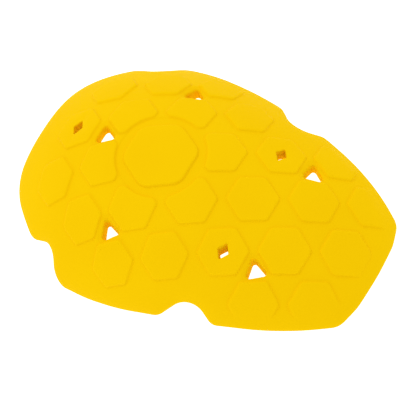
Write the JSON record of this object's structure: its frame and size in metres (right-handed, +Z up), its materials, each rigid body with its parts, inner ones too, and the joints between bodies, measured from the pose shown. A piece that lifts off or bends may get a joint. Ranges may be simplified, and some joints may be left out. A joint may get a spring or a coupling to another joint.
{
  "type": "shoulder protector",
  "caption": "Moulded foam shoulder pad: a notched, shallow dome with raised six-sided plates, a larger central rosette, triangular vents and slots, hollow underneath.",
  "frame": {"origin": "centre of the bounding box at its base, on the surface the pad rests on", "axes": "+X along the middle of the pad from its neck end to its arm end, +Y across it, +Z up out of the dome"},
  "size_m": [0.1998, 0.1432, 0.0486],
  "materials": {
    "foam": "satin moulded foam skin, bright yellow"
  },
  "bodies": {
    "root": {"moulded_pad": "foam"}
  },
  "joints": []
}
